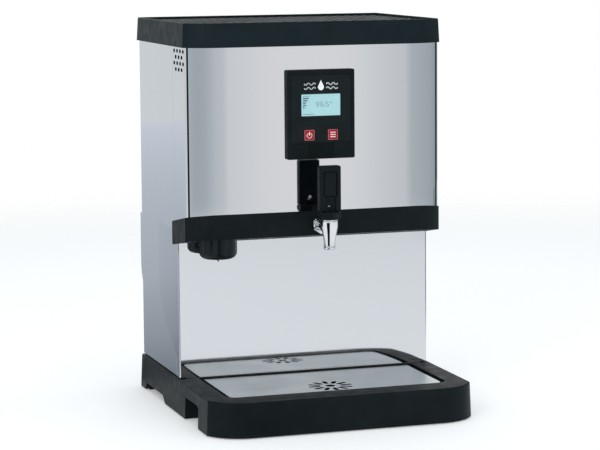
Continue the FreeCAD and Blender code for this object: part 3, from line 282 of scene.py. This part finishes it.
def bar(bm, x0, x1, y0, y1, z0, z1):
    """An axis-aligned bar added to a bmesh."""
    corners = [bm.verts.new((x, y, z)) for z in (z0, z1) for y in (y0, y1) for x in (x0, x1)]
    for face in ((0, 1, 3, 2), (4, 6, 7, 5), (0, 4, 5, 1), (1, 5, 7, 3), (3, 7, 6, 2), (2, 6, 4, 0)):
        bm.faces.new([corners[i] for i in face])


def plates(name, outlines, y_back, thickness, body, finish):
    """Thin raised marks facing -Y: each outline is a ring of (x, z) points."""
    bm = bmesh.new()
    for outline in outlines:
        back = [bm.verts.new((x, y_back, z)) for x, z in outline]
        front = [bm.verts.new((x, y_back - thickness, z)) for x, z in outline]
        bm.faces.new(front)
        bm.faces.new(back)
        for i in range(len(outline)):
            j = (i + 1) % len(outline)
            bm.faces.new((back[i], back[j], front[j], front[i]))
    return add_piece(name, finish_mesh(bm, name), body, finish)


def stroke(points, width):
    """Four-cornered outlines that follow a line of (x, z) points."""
    pieces = []
    for (x0, z0), (x1, z1) in zip(points, points[1:]):
        length = math.hypot(x1 - x0, z1 - z0)
        nx, nz = -(z1 - z0) / length * width / 2, (x1 - x0) / length * width / 2
        ex, ez = (x1 - x0) / length * width * 0.12, (z1 - z0) / length * width * 0.12
        pieces.append([(x0 + nx - ex, z0 + nz - ez), (x1 + nx + ex, z1 + nz + ez),
                       (x1 - nx + ex, z1 - nz + ez), (x0 - nx - ex, z0 - nz - ez)])
    return pieces


def arc(x, z, radius, start, end, steps=20):
    """Points on an arc, angles in degrees from the upward direction, clockwise."""
    turns = [math.radians(start + (end - start) * i / steps) for i in range(steps + 1)]
    return [(x + radius * math.sin(t), z + radius * math.cos(t)) for t in turns]


def box_outline(x0, x1, z0, z1):
    return [(x0, z0), (x1, z0), (x1, z1), (x0, z1)]


# ---- polished sheets ----------------------------------------------------------------------
SHEET = 1.2 * MM


FLAT_HALF = 146 * MM        # half the width of the head's flat front
CORNER_FORWARD = 22 * MM    # how far the rounded corners stand forward of the side strips


def corner_radius():
    """Radius of the head's corners, from the side strips to the flat front."""
    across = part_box("right_vent_strip")[1].x - FLAT_HALF
    return (across ** 2 + CORNER_FORWARD ** 2) / (2 * CORNER_FORWARD)


def sheet_mesh(name, columns, rows, skip=None, lean=None):
    """A sheet over a grid: columns are (x, y) points of its plan line, rows are heights."""
    bm = bmesh.new()
    grid = [[bm.verts.new((x, y, z)) for z in rows] for x, y in columns]
    for i in range(len(columns) - 1):
        for j in range(len(rows) - 1):
            if skip and skip(columns[i], columns[i + 1], rows[j], rows[j + 1]):
                continue
            bm.faces.new((grid[i][j], grid[i + 1][j], grid[i + 1][j + 1], grid[i][j + 1]))
    loose = [v for v in bm.verts if not v.link_faces]
    bmesh.ops.delete(bm, geom=loose, context="VERTS")
    if lean:
        for vertex in bm.verts:
            vertex.co.y += lean(vertex.co)
    bmesh.ops.recalc_face_normals(bm, faces=bm.faces)
    if sum(f.normal.y for f in bm.faces) > 0:
        bmesh.ops.reverse_faces(bm, faces=bm.faces)
    bmesh.ops.solidify(bm, geom=bm.faces[:], thickness=SHEET)
    return finish_mesh(bm, name, 35)


PANEL_BOW = 0.7 * MM        # how far the sheet's ends lie behind its middle, before the corner
EASE_IN = 22 * MM           # stretch over which the corner's curvature grows from none
EDGE_FOLD = 5.0 * MM        # width of the edge folded in at the shut lines
HOLE_MARGIN_X = 4 * MM      # the bezel laps the panel's hole by this much at each side
HOLE_MARGIN_Z = 5 * MM
NEAR = 0.6 * MM             # columns nearer to the hole's edge than this are left out


def corner_line(radius, end_turn):
    """Right half of the sheet's plan as (x, drop back) points: faint bow, growing curve, then arc."""
    step = 1.0 * MM
    bow_curvature = 2 * PANEL_BOW / FLAT_HALF ** 2
    start = FLAT_HALF - EASE_IN / 2
    x, drop, turn = 0.0, 0.0, 0.0
    points = [(x, drop)]
    while turn < end_turn:
        grown = min(max((x - start) / EASE_IN, 0), 1)
        turn += (bow_curvature + grown / radius) * step
        x += step * math.cos(turn)
        drop += step * math.sin(turn)
        points.append((x, drop))
    return points


def front_panel():
    """Mirror-polished front of the head, curved back at both ends and folded in at the shut lines."""
    radius = corner_radius()
    low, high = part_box("front_panel")
    bezel_low, bezel_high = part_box("control_bezel")
    end = math.asin((high.x - FLAT_HALF) / radius)
    line = corner_line(radius, end)
    fit = high.x / line[-1][0]
    right = [(x * fit, low.y + drop) for x, drop in line]
    last = right[-1]
    right.append((last[0] - EDGE_FOLD * math.sin(end), last[1] + EDGE_FOLD * math.cos(end)))
    hole = (bezel_low.x + HOLE_MARGIN_X, bezel_high.x - HOLE_MARGIN_X)
    whole = [(-x, y) for x, y in reversed(right[1:])] + right
    inner = [(x, y) for x, y in whole[1:-1] if min(abs(x - h) for h in hole) > NEAR]
    inner += [(h, low.y + PANEL_BOW * (h / FLAT_HALF) ** 2) for h in hole]
    columns = [whole[0]] + sorted(inner) + [whole[-1]]
    hole_rows = (bezel_low.z + HOLE_MARGIN_Z, bezel_high.z - HOLE_MARGIN_Z)
    twelfths = [low.z + (high.z - low.z) * k / 12 for k in (0, 1, 2, 3, 11, 12)]
    rows = sorted(twelfths + list(hole_rows))

    def in_hole(a, b, z0, z1):
        return (a[0] >= hole[0] - 1e-6 and b[0] <= hole[1] + 1e-6
                and z0 >= hole_rows[0] - 1e-6 and z1 <= hole_rows[1] + 1e-6)

    mesh = sheet_mesh("front_panel_sheet", columns, rows, in_hole)
    add_piece("front_panel_sheet", mesh, "root", "steel_polished", "front_panel")


SPLASH_BOW = 0.9            # metres: radius of the sheet's slight curve above the tray
CURVE_RISE = 28 * MM        # height over which it curves
CURVE_RUN_OUT = 110 * MM    # height over which its lean then runs out


def bow(z, foot):
    """How far the splashback leans back at a height: a slight curve that runs out higher up."""
    curve_top = foot + CURVE_RISE
    reach = min(z, curve_top) - foot
    lean = max(reach, 0) ** 2 / (2 * SPLASH_BOW)
    if z > curve_top:
        slope = (curve_top - foot) / SPLASH_BOW
        t = min((z - curve_top) / CURVE_RUN_OUT, 1)
        lean += slope * CURVE_RUN_OUT * (t - t * t / 2)
    return lean


SPLASH_CORNER = 1.6 * MM    # radius of the bend round to the sides
SPLASH_CORNER_STEPS = 10
SPLASH_TOP = 275 * MM       # height where the mirror sheet ends, up inside the head
FOOT_HALF = 187 * MM        # half the width of the flange behind the tray
TOP_INSET = 4.2 * MM


def splashback():
    """Mirror-polished sheet above the tray, wrapped round to the sides, with a flange below and above."""
    low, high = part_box("splashback")
    corner = SPLASH_CORNER
    right = []
    for i in range(SPLASH_CORNER_STEPS + 1):
        turn = math.radians(90) * i / SPLASH_CORNER_STEPS
        x = high.x - corner + corner * math.sin(turn)
        right.append((x, low.y + corner - corner * math.cos(turn)))
    right.append((high.x, high.y))
    flat = [(x * (high.x - corner) / 8, low.y) for x in range(-7, 8)]
    columns = [(-x, y) for x, y in reversed(right)] + flat + right
    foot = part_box("left_side_panel")[0].z
    rows = [foot + (SPLASH_TOP - foot) * (i / 40) ** 1.6 for i in range(41)]

    def lean(co):
        return bow(co.z, foot) if co.y < low.y + corner else 0

    mesh = sheet_mesh("splashback_sheet", columns, rows, lean=lean)
    add_piece("splashback_sheet", mesh, "root", "steel_polished", "splashback")
    for name, z0, z1, half in (("splashback_foot", low.z, foot + 1 * MM, FOOT_HALF),
                               ("splashback_top", SPLASH_TOP - 1 * MM, high.z, high.x - TOP_INSET)):
        bm = bmesh.new()
        bar(bm, -half, half, low.y, low.y + SHEET, z0, z1)
        flange = add_piece(name, finish_mesh(bm, name), "root", "steel_polished")
        round_edges(flange, 0.3 * MM, 2)


front_panel()
splashback()

# ---- mouldings and small parts with rounded edges -----------------------------------------
ROUNDED = (                 # node, edge radius in millimetres, segments, faces of cut slots
    ("lid", 0.45, 2, None),
    ("drip_tray", 0.9, 3, None),
    ("base_moulding", 1.0, 3, None),
    ("head_skirt", 1.3, 3, None),
    ("drip_plate", 0.25, 2, burst_wall),
    ("control_bezel", 0.7, 3, None),
    ("keypad_overlay", 0.15, 2, None),
    ("status_window", 0.15, 2, None),
    ("power_key", 0.5, 3, None),
    ("function_key", 0.5, 3, None),
    ("tap_body", 0.35, 3, None),
    ("tap_bonnet", 0.5, 3, None),
    ("tap_lever", 1.0, 3, None),
    ("tap_pivot_pin", 0.2, 2, None),
    ("lever_screw", 0.2, 2, None),
    ("filter_knob", 0.5, 3, None),
    ("filter_cartridge", 0.5, 3, None),
    ("cable_gland", 0.4, 3, None),
    ("inlet_valve_body", 0.4, 3, None),
    ("left_vent_strip", 0.12, 2, vent_wall),
    ("right_vent_strip", 0.12, 2, vent_wall),
    ("left_side_panel", 0.3, 2, None),
    ("right_side_panel", 0.3, 2, None),
    ("rear_panel", 0.25, 2, None),
    ("casing_screws", 0.5, 3, None),
)
rounded = {node: refined(node, width * MM, segments, walls) for node, width, segments, walls in ROUNDED}
# the lid takes the lighter, bluer copy: painted sheen
rounded["lid"].data.materials[0] = MATERIALS["lid_painted_sheen"]


SHADE_SHEET_GAP = 0.6 * MM       # between the strip and the black sheet
SHADE_SHEET_THICK = 0.8 * MM
SHADE_SHEET_DROPS = (56 * MM, 12 * MM)       # its lower and upper edge below the strip's top


def vent_shade_sheet(name, side):
    """Black sheet just behind a side strip's vents: painted shade of the dark inside seen through them."""
    inner = -STRIP_LOW.x - SHEET - SHADE_SHEET_GAP
    x0, x1 = sorted((side * inner, side * (inner - SHADE_SHEET_THICK)))
    z0, z1 = (STRIP_HIGH.z - drop for drop in SHADE_SHEET_DROPS)
    bm = bmesh.new()
    bar(bm, x0, x1, STRIP_LOW.y + 3.5 * MM, STRIP_HIGH.y - 1 * MM, z0, z1)
    shade_sheet = add_piece(name, finish_mesh(bm, name), "root", "painted_slot_shade")
    round_edges(shade_sheet, 0.2 * MM, 2)


# black sheets behind the vents: painted shade
vent_shade_sheet("left_vent_shade_sheet", -1)
vent_shade_sheet("right_vent_shade_sheet", 1)


# ---- panel graphics -----------------------------------------------------------------------
SEGMENTS = {"5": "afgcd", "6": "afgedc", "9": "abcdfg"}
MARK_THICK = 0.08 * MM      # of the marks printed on the display and the film


def digit(char, x, z, width, height, line):
    """Seven-segment outlines of a digit whose lower left corner is (x, z)."""
    middle, top, right = z + height / 2, z + height, x + width
    spans = {
        "a": (x, right, top - line, top),
        "b": (right - line, right, middle, top),
        "c": (right - line, right, z, middle),
        "d": (x, right, z, z + line),
        "e": (x, x + line, z, middle),
        "f": (x, x + line, middle, top),
        "g": (x, right, middle - line / 2, middle + line / 2),
    }
    gap = line * 0.18
    outlines = []
    for segment in SEGMENTS[char]:
        x0, x1, z0, z1 = spans[segment]
        outlines.append(box_outline(x0 + gap, x1 - gap, z0 + gap, z1 - gap))
    return outlines


def dashes(x, z0, z1, count):
    """A row of short dashes, 2.1 mm apart, that stands for small print on the display."""
    return [box_outline(x + i * 2.1 * MM, x + (i * 2.1 + 1.5) * MM, z0, z1) for i in range(count)]


def display_marks():
    """Level rows at the left of the display and a temperature in its middle."""
    low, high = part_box("display_window")
    width, height = high.x - low.x, high.z - low.z
    left, top = low.x + width * 0.045, high.z - height * 0.22
    outlines = []
    for row, count in enumerate((4, 3, 2, 2, 1)):
        z = top - row * height * 0.105
        for column in range(count):
            x = left + column * width * 0.036
            outlines.append(box_outline(x, x + width * 0.030, z, z + height * 0.062))
    tall, wide, line = height * 0.21, width * 0.080, 0.75 * MM
    x, z = low.x + width * 0.37, low.z + height * 0.43
    for char in "96":
        outlines += digit(char, x, z, wide, tall, line)
        x += wide * 1.5
    outlines.append(box_outline(x - wide * 0.25, x - wide * 0.25 + line, z, z + line))
    x += wide * 0.15
    outlines += digit("5", x, z, wide, tall, line)
    outlines += stroke(arc(x + wide * 1.75, z + tall * 0.85, 0.75 * MM, 0, 360, 10), 0.5 * MM)
    plates("display_marks", outlines, low.y, MARK_THICK, "root", "lcd_ink")
    footer = dashes(left, low.z + 2.2 * MM, low.z + 2.9 * MM, 8)
    header = dashes(left, high.z - 3.2 * MM, high.z - 2.6 * MM, 5)
    plates("display_rules", footer + header, low.y, 0.06 * MM, "root", "lcd_ink")


def panel_mark():
    """A white pictogram above the display: a water drop between pairs of waves."""
    low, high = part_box("keypad_overlay")
    x, z = (low.x + high.x) / 2, high.z - 15.5 * MM
    drop = arc(x, z - 2.2 * MM, 4.6 * MM, 55, 305, 24)
    outlines = [drop + [(x, z + 8.0 * MM)]]
    for side in (-1, 1):
        for level in (-1, 1):
            points = []
            for i in range(25):
                t = i / 24
                points.append((x + side * (8.5 + 17 * t) * MM,
                               z + (level * 3.1 - 0.6) * MM + 1.3 * MM * math.sin(t * 4 * math.pi)))
            outlines += stroke(points, 1.7 * MM)
    plates("panel_mark", outlines, low.y, MARK_THICK, "root", "print_white")


def key_marks(node, body, glyph):
    """A pale outline round the key's face and a white glyph on it."""
    low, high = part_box(node)
    flange = 1.8 * MM
    x, z = (low.x + high.x) / 2, (low.z + high.z) / 2
    half = (high.x - low.x) / 2 - flange - 0.55 * MM
    corners = box_outline(x - half, x + half, z - half, z + half)
    ring = corners + corners[:1]
    plates(node + "_mark", glyph(x, z), low.y + 0.02 * MM, 0.1 * MM, body, "print_white")
    plates(node + "_outline", stroke(ring, 0.6 * MM), low.y + 0.02 * MM, 0.1 * MM, body, "print_pink")


def power_glyph(x, z):
    ring = arc(x, z - 0.4 * MM, 3.6 * MM, 32, 328, 24)
    return stroke(ring, 1.2 * MM) + stroke([(x, z - 0.3 * MM), (x, z + 4.6 * MM)], 1.3 * MM)


def menu_glyph(x, z):
    rows = []
    for level in (-3.3, 0.0, 3.3):
        rows += stroke([(x - 4.0 * MM, z + level * MM), (x + 4.0 * MM, z + level * MM)], 1.2 * MM)
    return rows


display_marks()
panel_mark()
key_marks("power_key", "power_key", power_glyph)
key_marks("function_key", "function_key", menu_glyph)

# ---- finishes of the nodes that are carried over ------------------------------------------
for node, carried in frame["nodes"].items():
    if not carried.hide_render:
        carried.data.materials.clear()
        carried.data.materials.append(MATERIALS[SLOTS[node]])


# ---- floor, light and camera --------------------------------------------------------------
FLOOR_RADIUS = 3.0          # metres


def studio_floor():
    """A pale round table top that fades out into the pale surroundings."""
    bm = bmesh.new()
    bmesh.ops.create_circle(bm, cap_ends=True, segments=96, radius=FLOOR_RADIUS)
    mesh = bpy.data.meshes.new("floor")
    bm.to_mesh(mesh)
    bm.free()
    floor = bpy.data.objects.new("floor", mesh)
    bpy.context.scene.collection.objects.link(floor)
    made = new_material("floor", (0.88, 0.88, 0.88), 0.9, Specular_IOR_Level=0.0,
                        Emission_Color=(1, 1, 1, 1), Emission_Strength=0.27)
    vary_roughness(made, 0.85, 0.95, 3)
    nodes, links = made.node_tree.nodes, made.node_tree.links
    radius = nodes.new("ShaderNodeVectorMath")
    radius.operation = "LENGTH"
    links.new(place(made), radius.inputs[0])
    fade = nodes.new("ShaderNodeMapRange")
    fade.inputs["From Min"].default_value = FLOOR_RADIUS * 0.55
    fade.inputs["From Max"].default_value = FLOOR_RADIUS * 0.97
    fade.inputs["To Min"].default_value = 1.0
    fade.inputs["To Max"].default_value = 0.0
    fade.interpolation_type = "SMOOTHSTEP"
    links.new(radius.outputs["Value"], fade.inputs["Value"])
    links.new(fade.outputs["Result"], nodes["Principled BSDF"].inputs["Alpha"])
    mesh.materials.append(made)


def soft_light(name, place_at, aim_at, width, height, power):
    data = bpy.data.lights.new(name, "AREA")
    data.shape = "RECTANGLE"
    data.size, data.size_y = width, height
    data.energy = power
    light = bpy.data.objects.new(name, data)
    bpy.context.scene.collection.objects.link(light)
    light.location = place_at
    light.rotation_euler = (Vector(aim_at) - Vector(place_at)).to_track_quat("-Z", "Y").to_euler()


# Brightness of the surroundings by direction: degrees to the right of straight out from the front.
ROOM = ((-180, 1.0), (-166, 0.82), (-150, 0.72), (-138, 0.2), (-95, 0.2), (-84, 0.85), (-73, 0.95),
        (-66, 0.55), (-30, 0.60), (-12, 0.68), (3, 0.76), (12, 0.77), (15.5, 0.86), (18, 1.25), (20, 1.02),
        (22, 0.74), (28, 0.64), (66, 0.6), (108, 0.5), (118, 0.1), (134, 0.1), (148, 1.0), (160, 1.04),
        (180, 1.03))
SHADE_TINT = (0.86, 0.98, 1.04)     # colour of the darker directions


def studio_world():
    """Surroundings without edges, whose brightness follows ROOM round the object."""
    world = bpy.data.worlds.new("studio")
    bpy.context.scene.world = world
    world.use_nodes = True
    nodes, links = world.node_tree.nodes, world.node_tree.links
    where = nodes.new("ShaderNodeTexCoord")
    split = nodes.new("ShaderNodeSeparateXYZ")
    links.new(where.outputs["Generated"], split.inputs["Vector"])
    toward = nodes.new("ShaderNodeMath")
    toward.operation = "MULTIPLY"
    toward.inputs[1].default_value = -1
    links.new(split.outputs["Y"], toward.inputs[0])
    angle = nodes.new("ShaderNodeMath")
    angle.operation = "ARCTAN2"
    links.new(split.outputs["X"], angle.inputs[0])
    links.new(toward.outputs[0], angle.inputs[1])
    share = nodes.new("ShaderNodeMath")
    share.operation = "MULTIPLY_ADD"
    share.inputs[1].default_value = 0.5 / math.pi
    share.inputs[2].default_value = 0.5
    links.new(angle.outputs[0], share.inputs[0])
    ramp = nodes.new("ShaderNodeValToRGB")
    ramp.color_ramp.interpolation = "B_SPLINE"
    stops = ramp.color_ramp.elements
    while len(stops) < len(ROOM):
        stops.new(0.5)
    for stop, (degrees, level) in zip(stops, ROOM):
        stop.position = (degrees + 180) / 360
        tint = [level + (t * level - level) * (1 - level) * 2 for t in SHADE_TINT]
        stop.color = (*tint, 1)
    links.new(share.outputs[0], ramp.inputs["Fac"])
    links.new(ramp.outputs["Color"], nodes["Background"].inputs["Color"])


CAMERA_PLACE = (-1.0425, -3.1908, 0.7079)
CAMERA_YAW, CAMERA_PITCH, CAMERA_ROLL = 18.072, 6.262, -0.433     # degrees
CAMERA_LENS, CAMERA_RISE = 134.66, -0.075       # millimetres; vertical shift in picture widths


def studio_camera():
    yaw, pitch, roll = (math.radians(a) for a in (CAMERA_YAW, CAMERA_PITCH, CAMERA_ROLL))
    ahead = Vector((math.sin(yaw) * math.cos(pitch), math.cos(yaw) * math.cos(pitch), -math.sin(pitch)))
    level = Vector((math.cos(yaw), -math.sin(yaw), 0))
    above = level.cross(ahead)
    right = level * math.cos(roll) + above * math.sin(roll)
    up = above * math.cos(roll) - level * math.sin(roll)
    data = bpy.data.cameras.new("camera")
    data.sensor_width = 36
    data.lens = CAMERA_LENS
    data.shift_y = CAMERA_RISE
    camera = bpy.data.objects.new("camera", data)
    bpy.context.scene.collection.objects.link(camera)
    turn = Matrix((right, up, -ahead)).transposed()
    camera.matrix_world = Matrix.Translation(CAMERA_PLACE) @ turn.to_4x4()
    bpy.context.scene.camera = camera


CARD_DEEP = 5.0             # metres that the grey sweep runs back behind the object
SWEEP = ((0.3, 0.28), (0.6, 0.40), (1.3, 0.55), (2.3, 0.61), (3.5, 0.69), (5.0, 0.80))
BLACK = ((0.0, 0.01), (1.0, 0.01))
FLAG_SHARE = 0.25           # the flag's foot reaches in to this share of its distance from the tap


def reflected_card(name, corners, lift):
    """A card that only reflections see. Its brightness follows stops (metres along Y, level)."""
    bm = bmesh.new()
    bm.faces.new([bm.verts.new(corner) for corner in corners])
    mesh = bpy.data.meshes.new(name)
    bm.to_mesh(mesh)
    bm.free()
    card = bpy.data.objects.new(name, mesh)
    bpy.context.scene.collection.objects.link(card)
    card.visible_camera = False
    card.visible_diffuse = False
    card.visible_shadow = False
    made = new_material(name, (0, 0, 0), 1.0, Specular_IOR_Level=0.0, Emission_Strength=1.0)
    nodes, links = made.node_tree.nodes, made.node_tree.links
    split = nodes.new("ShaderNodeSeparateXYZ")
    links.new(place(made), split.inputs["Vector"])
    ramp = nodes.new("ShaderNodeValToRGB")
    stops = ramp.color_ramp.elements
    while len(stops) < len(lift):
        stops.new(0.5)
    for stop, (where, level) in zip(stops, lift):
        stop.position = where / CARD_DEEP
        stop.color = (level * (0.82 + 0.15 * level), level, level * 1.10, 1)
    scale = nodes.new("ShaderNodeMath")
    scale.operation = "DIVIDE"
    scale.inputs[1].default_value = CARD_DEEP
    links.new(split.outputs["Y"], scale.inputs[0])
    links.new(scale.outputs[0], ramp.inputs["Fac"])
    links.new(ramp.outputs["Color"], nodes["Principled BSDF"].inputs["Emission Color"])
    mesh.materials.append(made)


sweep_corners = [(-3, 0.24, 0.001), (3, 0.24, 0.001), (3, CARD_DEEP, 0.001), (-3, CARD_DEEP, 0.001)]
reflected_card("grey_sweep", sweep_corners, SWEEP)
flag_corners = [(-0.12, -0.63, 0.002), (-0.42, -0.43, 0.002), (-0.42, -0.43, 0.20), (-0.12, -0.63, 0.20)]
reflected_card("black_flag", flag_corners, BLACK)
tap_low, tap_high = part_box("tap_body")
tap_x = (tap_low.x + tap_high.x) / 2
near = [(tap_x * (1 - FLAG_SHARE) + x * FLAG_SHARE, tap_low.y * (1 - FLAG_SHARE) + y * FLAG_SHARE, z)
        for x, y, z in flag_corners[1::-1]]
reflected_card("black_flag_foot", flag_corners[:2] + near, BLACK)

studio_floor()
studio_world()
soft_light("front_left_box", (-1.9, -2.2, 1.9), (0, 0, 0.3), 1.4, 1.4, 20)
soft_light("overhead_box", (0.3, 0.2, 2.6), (0, 0, 0), 2.4, 2.4, 22)
studio_camera()
bpy.context.scene.view_settings.view_transform = "Standard"
